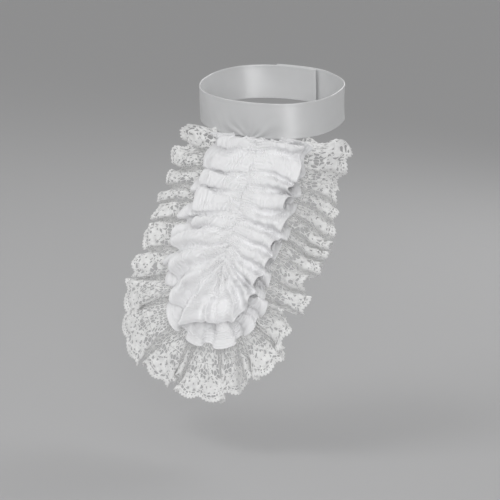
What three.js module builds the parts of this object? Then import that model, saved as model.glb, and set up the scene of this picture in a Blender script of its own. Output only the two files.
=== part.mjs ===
// A lace jabot: a satin neck band with a gathered bib of lace and crinkled chiffon ruffles.
// Millimetres, +Z up. The origin is the middle of the neck band's loop, the wearer faces -Y
// and the wearer's left is +X.
import * as THREE from 'three';

// Neck band: a satin ribbon round the neck, its ends lapped at the nape
const BAND_HALF_WIDTH = 72;
const BAND_HALF_DEPTH = 60;
const BAND_SQUARENESS = 2.3;
const BAND_HEIGHT = 36;
const BAND_WALL = 1.2;
const BAND_TILT = THREE.MathUtils.degToRad(14);
const BAND_LAP = 38;
const BAND_LAP_RUN = 30;
const BAND_STEPS = 64;

// Hook-and-loop patch between the lapped ends
const PATCH_LENGTH = 26;
const PATCH_HEIGHT = 24;
const PATCH_WALL = 1.4;

// Backing panel: the cloth that the ruffles are sewn to, tucked behind the band
const PANEL_WALL = 1.2;
const PANEL_TUCK = 8;
const PANEL_LENGTH = 196;
const PANEL_HALF_WIDTH = 37;

// Spine: the line down the middle of the bib that all the ruffles are set out from
const SPINE_SIDE = 13;
const SPINE_TOP = 6;
const SPINE_LENGTH = 154;

// Ruffles: how far out from the spine each is sewn, how far its cloth reaches from there, and
// how high its flutes stand at the seam and at the free edge
const CLOTH_WALL = 1.0;
const LACE = { seam: 30, reach: 75, seamRise: 3, edgeRise: 17 };
const UNDER_CHIFFON = { seam: 17, reach: 44, seamRise: 3, edgeRise: 10 };
const TOP_CHIFFON = { seam: 0, reach: 48, seamRise: 4, edgeRise: 14 };

// Gaps: between pieces laid together, at a ruffle's seam, and between nested ruffles, which
// end their climb onto the ruffle below a little before its seam
const CLEARANCE = 0.3;
const SEAM_GAP = 0.5;
const NESTING = 0.8;
const CLIMB_END = 3;

// Gathers: a flute's height at the seam as a share of its pitch, and how full its fold is there
const CROWDING = 0.32;
const SEAM_FULLNESS = 0.25;

// Cloth beside the band rides out over the shoulders: how far, and between which distances
// across from the middle and down from the band it comes in
const SHOULDER_LIFT = 9;
const SHOULDER_ACROSS = [30, 62];
const SHOULDER_DOWN = [-8, 18];

// Steps round a flute, and where the rows of points lie from seam to free edge
const FLUTE_STEPS = 8;
const LACE_ROWS = [0, 0.3, 0.65, 1];
const TOP_ROWS = [0, 0.25, 0.5, 0.75, 1];
const CHIFFON_ROWS = [0, 0.3, 0.65, 1];

// The chest that the cloth lies on, by the distance down from the band's lower edge:
// how far it slopes forward, in degrees, and its radius from side to side
const CHEST = table(['down', 'slope', 'radius'], [
  [-12, -14, 96],
  [-1, -14, 97],
  [2, 8, 98],
  [30, 24, 115],
  [65, 31, 132],
  [110, 28, 144],
  [150, 20, 150],
  [185, 6, 155],
  [300, 1, 168],
]);

// Backing panel's half width as a share of PANEL_HALF_WIDTH, down its length
const PANEL_OUTLINE = table(['along', 'width'], [
  [0, 0.58],
  [0.08, 0.66],
  [0.3, 0.88],
  [0.6, 1],
  [0.8, 0.98],
  [0.9, 0.84],
  [0.96, 0.62],
  [1, 0.34],
]);

// Lace flounce, a row for each flute from the wearer's right shoulder round the foot to the
// left: pitch and rise are shares, reach is a share of LACE.reach, turn is degrees away from
// square to the seam (plus runs on towards the next flute), flat widens the crest
const LACE_FLUTES = table(['pitch', 'reach', 'turn', 'rise', 'flat'], [
  [0.70, 0.84, -13, 0.90, 0.7],
  [1.20, 1.10, -5, 0.80, 0.8],
  [1.55, 0.98, -2, 0.90, 0.9],
  [1.44, 0.96, 2, 0.75, 0.9],
  [1.30, 0.90, -2, 0.95, 0.7],
  [1.64, 0.97, 1, 0.85, 0.9],
  [1.78, 1.10, 3, 0.95, 0.9],
  [1.44, 1.26, 5, 0.80, 0.8],
  [0.70, 1.22, 2, 0.95, 0.9],
  [0.62, 1.12, -3, 0.70, 0.9],
  [0.62, 0.94, 3, 0.95, 0.6],
  [0.55, 1.06, -2, 0.80, 0.8],
  [0.55, 0.98, 2, 1.00, 0.9],
  [0.41, 0.88, 0, 0.75, 0.7],
  [0.34, 0.72, 0, 0.90, 0.6],
  [0.62, 0.86, 0, 1.00, 0.8],
  [0.96, 0.74, -8, 0.85, 0.6],
  [0.55, 0.44, -4, 0.70, 0.5],
  [1.23, 0.42, -8, 0.90, 0.6],
  [1.36, 0.70, -17, 0.90, 0.6],
  [1.50, 0.70, -22, 1.00, 0.4],
  [1.23, 0.82, -18, 0.90, 0.6],
  [0.89, 0.78, -17, 1.00, 0.5],
  [0.75, 0.88, -16, 0.85, 0.6],
  [0.82, 0.86, -13, 0.95, 0.5],
  [0.69, 0.82, -8, 0.80, 0.6],
  [0.55, 0.78, -2, 0.95, 0.5],
  [0.48, 0.72, 5, 0.75, 0.6],
  [0.41, 0.82, 11, 0.95, 0.8],
  [0.36, 0.74, 22, 0.80, 0.7],
]);

// Under chiffon ruffle, set out in the same way round a narrower seam
const UNDER_FLUTES = table(['pitch', 'reach', 'turn', 'rise', 'flat'], [
  [0.70, 0.66, -20, 0.80, 0.7],
  [1.20, 0.62, -4, 0.95, 0.8],
  [1.35, 0.70, 0, 0.80, 0.9],
  [1.25, 0.74, 2, 1.00, 0.8],
  [1.35, 0.86, 2, 0.85, 0.9],
  [1.10, 0.96, 4, 0.95, 0.7],
  [0.95, 0.98, 6, 0.85, 0.8],
  [0.60, 0.94, 2, 1.00, 0.6],
  [0.55, 0.86, -2, 0.80, 0.9],
  [0.60, 0.76, 1, 0.90, 0.9],
  [0.60, 0.72, 3, 0.85, 0.8],
  [0.60, 0.70, 0, 1.00, 0.6],
  [0.95, 0.74, -8, 0.85, 0.7],
  [1.10, 0.82, -16, 1.00, 0.6],
  [1.20, 0.94, -20, 0.85, 0.7],
  [1.10, 1.06, -18, 1.00, 0.5],
  [1.00, 0.96, -14, 0.85, 0.7],
  [0.95, 0.80, -10, 0.95, 0.5],
  [0.80, 0.74, 0, 0.85, 0.6],
  [0.60, 0.74, 18, 0.95, 0.7],
]);

// Top chiffon ruffle, gathered down the spine itself, a row for each flute from the band to
// the foot: right and left are shares of TOP_CHIFFON.reach, droops are degrees below square
const TOP_FLUTES = table(['pitch', 'right', 'left', 'rightDroop', 'leftDroop', 'rise', 'flat'], [
  [1.18, 0.66, 0.78, -6, -2, 0.75, 0.8],
  [1.68, 0.64, 0.88, -2, 9, 0.85, 0.9],
  [1.68, 0.76, 0.86, -2, 14, 0.95, 0.9],
  [1.60, 0.74, 0.88, 0, 17, 0.80, 0.9],
  [1.25, 0.86, 0.86, 6, 20, 1.00, 0.7],
  [0.85, 0.72, 0.92, 16, 24, 0.85, 0.7],
  [0.68, 0.92, 0.82, 24, 34, 0.95, 0.6],
  [0.60, 1.04, 0.88, 36, 46, 0.90, 0.6],
  [0.48, 1.02, 0.86, 48, 58, 1.00, 0.5],
  [0.48, 1.08, 0.84, 62, 70, 0.85, 0.6],
  [0.52, 0.96, 0.90, 80, 84, 0.95, 0.7],
]);

function table(columns, rows) {
  return rows.map((row) => Object.fromEntries(columns.map((name, i) => [name, row[i]])));
}

const lerp = THREE.MathUtils.lerp;
const clamp = THREE.MathUtils.clamp;

// Reads a column of a table between its rows
function readTable(rows, key, x, column) {
  const next = rows.findIndex((row) => row[key] > x);
  if (next === 0) return rows[0][column];
  if (next < 0) return rows.at(-1)[column];
  const a = rows[next - 1];
  const b = rows[next];
  return lerp(a[column], b[column], (x - a[key]) / (b[key] - a[key]));
}

// A closed sheet of even wall from a grid of points on its middle surface
function sheet(columns, rows, wall, point) {
  const grid = [];
  for (let i = 0; i <= columns; i++) {
    for (let j = 0; j <= rows; j++) grid.push(point(i, j));
  }
  const at = (i, j) => grid[clamp(i, 0, columns) * (rows + 1) + clamp(j, 0, rows)];
  const positions = [];
  for (const side of [0.5, -0.5]) {
    for (let i = 0; i <= columns; i++) {
      for (let j = 0; j <= rows; j++) {
        const along = at(i + 1, j).clone().sub(at(i - 1, j));
        const across = at(i, j + 1).clone().sub(at(i, j - 1));
        const normal = along.cross(across).normalize();
        positions.push(...at(i, j).clone().addScaledVector(normal, side * wall).toArray());
      }
    }
  }
  const size = grid.length;
  const id = (i, j) => i * (rows + 1) + j;
  const faces = [];
  const quad = (a, b, c, d) => faces.push(a, b, c, a, c, d);
  for (let i = 0; i < columns; i++) {
    for (let j = 0; j < rows; j++) {
      const corners = [id(i, j), id(i + 1, j), id(i + 1, j + 1), id(i, j + 1)];
      quad(...corners);
      const [a, b, c, d] = corners.map((corner) => corner + size);
      faces.push(a, c, b, a, d, c);
    }
  }
  for (let i = 0; i < columns; i++) {
    quad(id(i + 1, 0), id(i, 0), id(i, 0) + size, id(i + 1, 0) + size);
    quad(id(i, rows), id(i + 1, rows), id(i + 1, rows) + size, id(i, rows) + size);
  }
  for (let j = 0; j < rows; j++) {
    quad(id(0, j), id(0, j + 1), id(0, j + 1) + size, id(0, j) + size);
    quad(id(columns, j + 1), id(columns, j), id(columns, j) + size, id(columns, j + 1) + size);
  }
  const geometry = new THREE.BufferGeometry();
  geometry.setAttribute('position', new THREE.Float32BufferAttribute(positions, 3));
  geometry.setIndex(faces);
  geometry.computeVertexNormals();
  return geometry;
}

// Profile of the chest down the middle, in steps of 1 mm from the tuck behind the band
const PROFILE_START = -PANEL_TUCK - 20;
const profile = chestProfile();

function chestProfile() {
  const bandToPanel = BAND_WALL / 2 + CLEARANCE + PANEL_WALL / 2;
  const edge = bandPoint(-Math.PI / 2, -BAND_HEIGHT / 2, -bandToPanel);
  const points = [{ y: 0, z: 0 }];
  for (let i = 0; i < 400; i++) {
    const slope = chestSlope(PROFILE_START + i + 0.5);
    const last = points[i];
    points.push({ y: last.y - Math.sin(slope), z: last.z - Math.cos(slope) });
  }
  const shift = points[-PROFILE_START];
  return points.map((p) => ({ y: p.y - shift.y + edge.y, z: p.z - shift.z + edge.z }));
}

function chestSlope(down) {
  return THREE.MathUtils.degToRad(readTable(CHEST, 'down', down, 'slope'));
}

// A place on the chest: across from the middle, down from the band, and raised off it
function onChest(across, down, raised) {
  const step = clamp(down - PROFILE_START, 0, profile.length - 2);
  const i = Math.floor(step);
  const y = lerp(profile[i].y, profile[i + 1].y, step - i);
  const z = lerp(profile[i].z, profile[i + 1].z, step - i);
  const slope = chestSlope(down);
  const radius = readTable(CHEST, 'down', down, 'radius');
  const angle = across / radius;
  const out = (radius + raised) * Math.cos(angle) - radius;
  const side = (radius + raised) * Math.sin(angle);
  return new THREE.Vector3(side, y - out * Math.cos(slope), z + out * Math.sin(slope));
}

// A place on the band: round the loop, up its height, and out from the middle of its wall
function bandPoint(angle, up, out) {
  const c = Math.cos(angle);
  const s = Math.sin(angle);
  const power = 2 / BAND_SQUARENESS;
  const x = BAND_HALF_WIDTH * Math.sign(c) * Math.abs(c) ** power;
  const y = BAND_HALF_DEPTH * Math.sign(s) * Math.abs(s) ** power;
  const outward = new THREE.Vector2(
    Math.sign(x) * (Math.abs(x) / BAND_HALF_WIDTH) ** (BAND_SQUARENESS - 1) / BAND_HALF_WIDTH,
    Math.sign(y) * (Math.abs(y) / BAND_HALF_DEPTH) ** (BAND_SQUARENESS - 1) / BAND_HALF_DEPTH,
  ).normalize();
  const point = new THREE.Vector3(x + outward.x * out, y + outward.y * out, up);
  return point.applyAxisAngle(new THREE.Vector3(1, 0, 0), BAND_TILT);
}

function neckBand() {
  const halfLap = BAND_LAP / 2 / BAND_HALF_WIDTH;
  const run = BAND_LAP_RUN / BAND_HALF_WIDTH;
  const lift = BAND_WALL + PATCH_WALL + 2 * CLEARANCE;
  const from = Math.PI / 2 - halfLap;
  const sweep = 2 * Math.PI + 2 * halfLap;
  return sheet(BAND_STEPS, 2, BAND_WALL, (i, j) => {
    const angle = from + sweep * i / BAND_STEPS;
    const past = angle - (from + sweep - 2 * halfLap - run);
    const out = lift * THREE.MathUtils.smoothstep(past, 0, run);
    return bandPoint(angle, BAND_HEIGHT * (j / 2 - 0.5), out);
  });
}

function bandFastener() {
  const halfTurn = PATCH_LENGTH / 2 / BAND_HALF_WIDTH;
  const out = (BAND_WALL + PATCH_WALL) / 2 + CLEARANCE;
  return sheet(6, 1, PATCH_WALL, (i, j) =>
    bandPoint(Math.PI / 2 + halfTurn * (i / 3 - 1), PATCH_HEIGHT * (j - 0.5), out));
}

function backingPanel() {
  const steps = 20;
  const halfSteps = 3;
  return sheet(2 * halfSteps, steps + 1, PANEL_WALL, (i, j) => {
    const along = Math.max(j - 1, 0) / steps;
    const down = j === 0 ? -PANEL_TUCK : PANEL_LENGTH * along;
    const half = PANEL_HALF_WIDTH * readTable(PANEL_OUTLINE, 'along', along, 'width');
    const middle = SPINE_SIDE * THREE.MathUtils.smoothstep(along, 0, 0.3);
    return onChest(middle + half * (i / halfSteps - 1), down, 0);
  });
}

// Distance of a place from the spine
function fromSpine(across, down) {
  const beyond = Math.max(down - SPINE_TOP - SPINE_LENGTH, 0);
  return Math.hypot(across - SPINE_SIDE, beyond);
}

// How high a ruffle's flutes stand at a distance from the spine
function riseAt(layer, distance) {
  const share = clamp((distance - layer.seam) / layer.reach, 0, 1);
  return lerp(layer.seamRise, layer.edgeRise, share);
}

// How far cloth beside the band is held out, so that it stays clear of the band's edge
function shoulderLift(across, down) {
  const beside = THREE.MathUtils.smoothstep(Math.abs(across), ...SHOULDER_ACROSS);
  return SHOULDER_LIFT * beside * (1 - THREE.MathUtils.smoothstep(down, ...SHOULDER_DOWN));
}

// A place on a ruffle: its height is shared between what it lies on and its own flute
function onRuffle(layer, below, across, down, flute, out) {
  const distance = fromSpine(across, down);
  const crowded = CROWDING * flute.pitch + out * layer.edgeRise;
  const rise = Math.min(riseAt(layer, distance), crowded) * flute.height;
  const lift = shoulderLift(across, down);
  return onChest(across, down, floorAt(layer, below, distance) + rise + lift);
}

// The height that a ruffle lies at: on the panel at its own seam, and climbing from there
// onto the crests of the ruffles below it
function floorAt(layer, below, distance) {
  let height = (PANEL_WALL + CLOTH_WALL) / 2 + SEAM_GAP;
  for (const under of below) {
    const climb = under.seam - layer.seam - CLIMB_END;
    const share = clamp((distance - layer.seam) / climb, 0, 1);
    height += share * (riseAt(under, distance) + CLOTH_WALL + NESTING);
  }
  return height;
}

// Blends a column between the middles of neighbouring flutes
function blendFlutes(flutes, place, column) {
  const at = clamp(place - 0.5, 0, flutes.length - 1);
  const i = Math.floor(at);
  const next = Math.min(i + 1, flutes.length - 1);
  return lerp(flutes[i][column], flutes[next][column], THREE.MathUtils.smoothstep(at - i, 0, 1));
}

// One step round a flute: how far on it is, in millimetres from the seam's start, with the
// walls folded under the crest, and how high it stands as a share of the rise
function fluteStep(flutes, length, step, fullness) {
  const total = flutes.reduce((sum, row) => sum + row.pitch, 0);
  const i = Math.min(Math.floor(step / FLUTE_STEPS), flutes.length - 1);
  const phase = step / FLUTE_STEPS - i;
  const angle = 2 * Math.PI * phase;
  const fold = 1.5 * fullness;
  const flat = flutes[i].flat * fullness;
  const shift = fold * Math.sin(2 * angle) / 2 - flat * Math.sin(angle);
  const start = flutes.slice(0, i).reduce((sum, row) => sum + row.pitch, 0);
  return {
    along: (start + flutes[i].pitch * (phase + shift / (2 * Math.PI))) / total * length,
    pitch: blendFlutes(flutes, i + phase, 'pitch') / total * length,
    place: i + phase,
    height: (1 - Math.cos(angle)) / 2 * blendFlutes(flutes, i + phase, 'rise'),
  };
}

// A place on the U-shaped seam round the spine, and the way out from it
function seamPlace(layer, along) {
  const bend = Math.PI * layer.seam;
  if (along < SPINE_LENGTH) {
    return { across: -layer.seam, down: along, heading: Math.PI };
  }
  if (along < SPINE_LENGTH + bend) {
    const heading = Math.PI - (along - SPINE_LENGTH) / layer.seam;
    const across = layer.seam * Math.cos(heading);
    return { across, down: SPINE_LENGTH + layer.seam * Math.sin(heading), heading };
  }
  return { across: layer.seam, down: 2 * SPINE_LENGTH + bend - along, heading: 0 };
}

// A flounce gathered on a U-shaped seam, laid over the layers below it
function flounce(layer, below, flutes, rows) {
  const length = 2 * SPINE_LENGTH + Math.PI * layer.seam;
  return sheet(flutes.length * FLUTE_STEPS, rows.length - 1, CLOTH_WALL, (i, j) => {
    const out = rows[j];
    const flute = fluteStep(flutes, length, i, lerp(SEAM_FULLNESS, 1, out));
    const seam = seamPlace(layer, flute.along);
    const turn = THREE.MathUtils.degToRad(blendFlutes(flutes, flute.place, 'turn'));
    const heading = seam.heading - turn;
    const reach = layer.reach * blendFlutes(flutes, flute.place, 'reach') * out;
    const across = SPINE_SIDE + seam.across + reach * Math.cos(heading);
    const down = SPINE_TOP + seam.down + reach * Math.sin(heading);
    return onRuffle(layer, below, across, down, flute, out);
  });
}

// A ruffle gathered along its middle, down the spine, with a wing to each side
function doubleRuffle(layer, below, flutes, rows) {
  const wing = rows.length - 1;
  return sheet(flutes.length * FLUTE_STEPS, 2 * wing, CLOTH_WALL, (i, j) => {
    const isRight = j < wing;
    const side = isRight ? -1 : 1;
    const out = rows[Math.abs(j - wing)];
    const flute = fluteStep(flutes, SPINE_LENGTH, i, lerp(SEAM_FULLNESS, 1, out));
    const droopName = isRight ? 'rightDroop' : 'leftDroop';
    const droop = THREE.MathUtils.degToRad(blendFlutes(flutes, flute.place, droopName));
    const reach = layer.reach * blendFlutes(flutes, flute.place, isRight ? 'right' : 'left') * out;
    const across = SPINE_SIDE + side * reach * Math.cos(droop);
    const down = SPINE_TOP + flute.along + reach * Math.sin(droop);
    return onRuffle(layer, below, across, down, flute, out);
  });
}

function cloth(name, geometry, colour, roughness) {
  const material = new THREE.MeshStandardMaterial({ color: colour, roughness, metalness: 0 });
  const mesh = new THREE.Mesh(geometry, material);
  mesh.name = name;
  return mesh;
}

const jabot = new THREE.Group();
jabot.name = 'jabot';
jabot.add(
  cloth('neck_band', neckBand(), 0xf2f2f4, 0.35),
  cloth('band_fastener', bandFastener(), 0xe9e9ea, 0.8),
  cloth('backing_panel', backingPanel(), 0xefeff0, 0.8),
  cloth('lace_flounce', flounce(LACE, [], LACE_FLUTES, LACE_ROWS), 0xf4f4f4, 0.85),
  cloth('under_ruffle', flounce(UNDER_CHIFFON, [LACE], UNDER_FLUTES, CHIFFON_ROWS), 0xf1f1f2, 0.75),
  cloth('top_ruffle', doubleRuffle(TOP_CHIFFON, [UNDER_CHIFFON, LACE], TOP_FLUTES, TOP_ROWS), 0xf3f3f4, 0.75),
);

export default jabot;
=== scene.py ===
"""Lace jabot on its satin neck band: the finished look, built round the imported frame."""

import math

import bpy
import numpy as np
from mathutils import Matrix, Vector


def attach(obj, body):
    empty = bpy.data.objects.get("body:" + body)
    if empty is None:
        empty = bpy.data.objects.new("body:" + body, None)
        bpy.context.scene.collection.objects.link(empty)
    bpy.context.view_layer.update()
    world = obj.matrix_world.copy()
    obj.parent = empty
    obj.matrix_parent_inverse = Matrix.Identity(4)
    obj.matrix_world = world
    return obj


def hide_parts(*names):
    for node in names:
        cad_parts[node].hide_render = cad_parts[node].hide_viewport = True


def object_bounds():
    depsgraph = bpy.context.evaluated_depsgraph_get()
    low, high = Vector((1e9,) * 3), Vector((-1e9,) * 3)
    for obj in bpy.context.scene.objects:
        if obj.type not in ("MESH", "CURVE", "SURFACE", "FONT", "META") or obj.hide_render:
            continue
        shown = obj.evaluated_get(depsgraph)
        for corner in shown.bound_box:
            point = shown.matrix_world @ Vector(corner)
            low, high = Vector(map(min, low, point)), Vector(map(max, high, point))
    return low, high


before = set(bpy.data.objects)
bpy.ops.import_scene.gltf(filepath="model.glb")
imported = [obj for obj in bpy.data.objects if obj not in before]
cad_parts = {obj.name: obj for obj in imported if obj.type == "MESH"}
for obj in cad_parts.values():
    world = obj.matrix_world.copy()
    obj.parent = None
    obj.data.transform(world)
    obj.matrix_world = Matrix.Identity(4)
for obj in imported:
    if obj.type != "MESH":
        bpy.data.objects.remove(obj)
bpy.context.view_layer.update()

MM = 0.001
SEED = 7
rng = np.random.default_rng(SEED)


def columns(names, rows):
    """A table with named columns, as arrays."""
    return {name: np.array([row[i] for row in rows], float) for i, name in enumerate(names)}


# Camera: the photograph's viewing angle, its distance, and where the picture is centred
CAMERA_AZIMUTH = math.radians(25)
CAMERA_ELEVATION = math.radians(10.8)
CAMERA_ROLL = math.radians(4.2)
CAMERA_DISTANCE = 1.7
CAMERA_ASIDE = -0.022
CAMERA_BELOW = -0.1492
CAMERA_LENS = 122.4
CAMERA_SENSOR = 36
CAMERA_CLIP = 0.05

# Neck band, in millimetres
BAND_HALF_WIDTH = 72
BAND_HALF_DEPTH = 60
BAND_SQUARENESS = 2.3
BAND_HEIGHT = 36
BAND_WALL = 1.2
BAND_TILT = math.radians(14)
BAND_LAP = 38
BAND_LAP_RUN = 30
SELVEDGE = 2.6
SELVEDGE_FOLD = 0.12
BAND_WAVE = 0.35
WAVE_STRETCH = (0.8, 0.7)
WAVE_START = 500

# Puckers that fan out from the stitching under the band, and creases beside them
PUCKER_ACROSS = 2
PUCKER_BELOW = 3
PUCKER_RISE = 0.85
PUCKER_FADE = 15
PUCKER_FOLDS = 13
PUCKER_SWAY = 0.8
PUCKER_LENGTH = 5
CREASE_ACROSS = 26
CREASE_SPREAD = 20
CREASE_RISE = 0.35
CREASE_WIDTH = 2.1
CREASE_LEAN = 0.55
CREASE_FADE = 16

# Patch between the band's lapped ends
PATCH_LENGTH = 26
PATCH_HEIGHT = 24
PATCH_WALL = 1.4
PATCH_PILE = 0.1
PILE_SCALE = 400

# Backing panel and the spine that the ruffles are set out from
PANEL_WALL = 1.2
PANEL_TUCK = 8
PANEL_LENGTH = 196
PANEL_HALF_WIDTH = 37
PANEL_SIZE = (60, 200)
PANEL_EASE = 0.036
PANEL_EDGE = 2
SPINE_SIDE = 13
SPINE_TOP = 6
SPINE_LENGTH = 154
SPINE_SETTLED = 0.3

# The solid ruffles' wall, which sets how far apart the layers lie
CLOTH_WALL = 1.0

# Ruffles. seam: how far the seam is out from the spine. reach: from the seam to the free edge.
# seam_rise and edge_rise: the flutes' height at each. fullness: how folded the seam already is.
# bunch: share of the layers below that lies under the seam. tuck: how far the top is drawn up.
# flare: more height at the free edge. lobe: how much shorter the valleys are than the crests.
# stray: how far the cloth wanders aside. gather: the seam's crimps, and gathered: where they end.
LACE = {
    "seam": 30, "reach": 75, "seam_rise": 3, "edge_rise": 17, "fullness": 0.25, "bunch": 0,
    "tuck": 4.6, "flare": 2, "lobe": -0.07, "stray": 2.0, "gather": 1.2, "gathered": 0.8,
}
UNDER = {
    "seam": 17, "reach": 44, "seam_rise": 3, "edge_rise": 10, "fullness": 0.25, "bunch": 0,
    "tuck": 4.6, "flare": 3, "lobe": 0.12, "stray": 2.4, "gather": 0.8, "gathered": 0.6,
}
TOP = {
    "seam": 0, "reach": 48, "seam_rise": 0.8, "edge_rise": 14, "fullness": 0.05, "bunch": 0.5,
    "tuck": 7.4, "flare": 6, "lobe": 0.05, "stray": 3.0, "gather": 0.42, "gathered": 0.6,
}

# How the ruffles lie: the top one's seam and lap, room between layers, and the shoulders
TOP_SPINE = 132
TOP_LAP = 0.8
CLEARANCE = 0.3
SEAM_GAP = 0.5
NESTING = 0.8
CLIMB_END = 3
CROWDING = 0.32
SHOULDER_LIFT = 9
SHOULDER_ACROSS = (30, 62)
SHOULDER_DOWN = (-8, 18)
TUCK_ACROSS = (50, 80)
TUCK_DOWN = 34

# Tiers across the top ruffle's lowest flutes: from which flute and how far out they begin
TIER_LIFT = 1.8
TIERS = 2.1
TIER_DRIFT = 0.13
TIER_WANDER = 0.25
TIER_FLUTES = (5, 8)
TIER_OUT = (0.15, 0.4)

# A flute's profile: sideways curl and pinch when round, and what a fully flat one adds
CURL = (0.35, 0.45)
PINCH = (0.1, 1.1)
LEAN_CURVE = 1.5

# The ends of a ruffle: share of the reach that is left there, and the flutes that it eases over
END_REACH = 0.3
END_RUN = (-0.1, 0.5)
END_CALM = 0.8

# Crimps at the seam: how many to a flute, where they begin to die out, and how unevenly they lie
CRIMPS = 7.3
CRIMP_HOLD = 0.1
CRIMP_DRIFT = 0.35
CRIMP_SPAN = (30, 10)

# Wanderings of the cloth: lengths of the waves, and how far and from where they move it
RIPPLE_WAVES = 9
RIPPLE_LENGTHS = (0.7, 1.5)
WANDER_LENGTH = 34
FLUTTER_LENGTH = 11
LOOSE_END = 1.1
SIDE_SPAN = (45, 60)
LIFT_SPAN = (40, 70)
LIFT_START = (300, 90)
LIFT_CURVE = 1.5
FLUTTER_SIDE = 0.6
WANDER_LIFT = 1.6
FLUTTER_LIFT = 0.5
WING_SHIFT = 400

# Measuring a ruffle's surface
NORMAL_STEP = 0.004
NORMAL_END = 1.02
PLACES_PER_FLUTE = 80
WIDTH_SAMPLES = 2000

# The chest under the cloth, down from the band: share of its length, degrees, share of its radius
CHEST_LENGTH = 300
CHEST_RADIUS = 150
CHEST_SPAN = (-30, 380)
CHEST_STEP = 0.5
CHEST = columns(["down", "slope", "radius"], [
    (-0.040, -14, 0.640),
    (-0.003, -14, 0.647),
    (0.007, 8, 0.653),
    (0.100, 24, 0.767),
    (0.217, 31, 0.880),
    (0.367, 28, 0.960),
    (0.500, 20, 1.000),
    (0.617, 6, 1.033),
    (1.000, 1, 1.120),
])

# The backing panel's width, as a share, down its length
PANEL_OUTLINE = columns(["along", "width"], [
    (0, 0.58),
    (0.08, 0.66),
    (0.3, 0.88),
    (0.6, 1),
    (0.8, 0.98),
    (0.9, 0.84),
    (0.96, 0.62),
    (1, 0.34),
])

# Flutes in order along the seam: down the wearer's right and up the left, or down a wing.
# pitch: share of the seam. reach and rise: shares of the ruffle's. turn: degrees off straight out.
# droop: degrees below straight across. flat: 0 for a round fold, 1 for a flat one.
# lean: how far the crest lies over the next flute. furl: how far the free edge rolls back.
FLUTE_NAMES = ["pitch", "reach", "turn", "rise", "flat", "lean"]
WING_NAMES = ["pitch", "reach", "droop", "rise", "flat", "lean", "furl"]

LACE_FLUTES = columns(FLUTE_NAMES, [
    (1.70, 0.62, -16, 1.50, 0.9, 0.12),
    (0.96, 0.97, -11, 0.90, 0.8, 0.20),
    (1.22, 0.86, -8, 0.90, 0.9, 0.20),
    (0.92, 0.90, 0, 0.70, 0.9, 0.10),
    (1.34, 0.76, 0, 1.05, 0.9, 0.25),
    (2.20, 0.83, 1, 0.85, 1.0, 0.20),
    (2.00, 0.88, 3, 0.95, 1.0, 0.25),
    (1.20, 0.99, 6, 0.90, 1.1, 0.20),
    (1.20, 1.03, -1, 1.00, 1.1, 0.20),
    (0.85, 0.94, 2, 0.85, 1.0, 0.10),
    (0.16, 0.84, 0, 0.60, 0.5, 0.00),
    (1.24, 0.93, -4, 1.00, 1.0, 0.10),
    (0.56, 0.87, -10, 0.95, 0.8, -0.15),
    (0.20, 0.72, -4, 0.70, 0.5, 0.00),
    (0.90, 0.75, -3, 1.05, 0.9, -0.20),
    (0.18, 0.66, -6, 0.70, 0.5, 0.00),
    (0.78, 0.62, -14, 1.10, 0.8, -0.20),
    (0.44, 0.44, -10, 0.70, 0.5, 0.00),
    (1.62, 0.73, -14, 1.00, 0.7, 0.10),
    (1.83, 0.64, -20, 1.20, 0.5, 0.15),
    (1.13, 0.78, -16, 1.00, 0.6, 0.10),
    (0.92, 0.79, -17, 1.10, 0.5, 0.15),
    (0.92, 0.82, -15, 1.00, 0.7, 0.10),
    (0.85, 0.79, -12, 1.10, 0.5, 0.15),
    (0.92, 0.76, -8, 1.00, 0.7, 0.10),
    (0.92, 0.70, -2, 0.90, 0.6, 0.00),
    (1.60, 0.71, 8, 1.20, 0.7, 0.10),
])

UNDER_FLUTES = columns(FLUTE_NAMES, [
    (0.70, 0.66, -20, 0.80, 0.1, 0.20),
    (1.20, 0.62, -4, 0.95, 0.2, 0.30),
    (1.35, 0.70, 0, 0.80, 0.3, 0.20),
    (1.25, 0.74, 2, 1.10, 0.1, 0.35),
    (1.35, 0.78, 2, 0.85, 0.3, 0.25),
    (1.10, 0.76, 4, 1.05, 0.2, 0.30),
    (0.95, 0.70, 4, 0.80, 0.3, 0.20),
    (0.80, 0.72, 2, 1.00, 0.2, 0.25),
    (0.55, 0.74, 2, 0.80, 0.3, 0.10),
    (0.60, 0.76, 1, 0.90, 0.3, 0.10),
    (0.45, 0.70, 3, 0.75, 0.3, -0.10),
    (0.60, 0.72, 0, 0.95, 0.3, -0.10),
    (0.85, 0.66, -8, 0.85, 0.2, -0.20),
    (1.10, 0.70, -16, 1.10, 0.1, -0.30),
    (1.20, 0.72, -20, 0.85, 0.3, 0.20),
    (1.10, 0.78, -18, 1.10, 0.1, -0.35),
    (1.00, 0.76, -14, 0.85, 0.2, 0.20),
    (0.95, 0.74, -10, 1.05, 0.1, -0.30),
    (0.80, 0.70, 0, 0.85, 0.1, -0.20),
    (0.60, 0.72, 18, 0.95, 0.1, 0.00),
])

TOP_RIGHT_FLUTES = columns(WING_NAMES, [
    (1.70, 0.62, -6, 0.80, 0.7, 0.20, 0.00),
    (2.20, 0.62, -2, 0.80, 0.9, 0.30, 0.00),
    (1.90, 0.76, -1, 0.90, 0.8, 0.35, 0.05),
    (2.50, 0.74, 0, 0.80, 0.9, 0.20, 0.00),
    (1.30, 0.70, 6, 0.90, 0.5, 0.30, 0.05),
    (1.30, 0.92, 17, 1.00, 0.6, 0.35, 0.00),
    (1.00, 1.04, 32, 1.10, 0.5, 0.30, 0.05),
    (0.90, 1.20, 50, 1.10, 0.6, 0.25, 0.05),
    (0.50, 1.26, 68, 1.30, 0.3, 0.15, 0.00),
    (0.30, 1.12, 86, 0.90, 0.3, 0.00, 0.10),
    (0.10, 1.05, 98, 0.10, 0.0, 0.00, 0.00),
])

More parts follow.
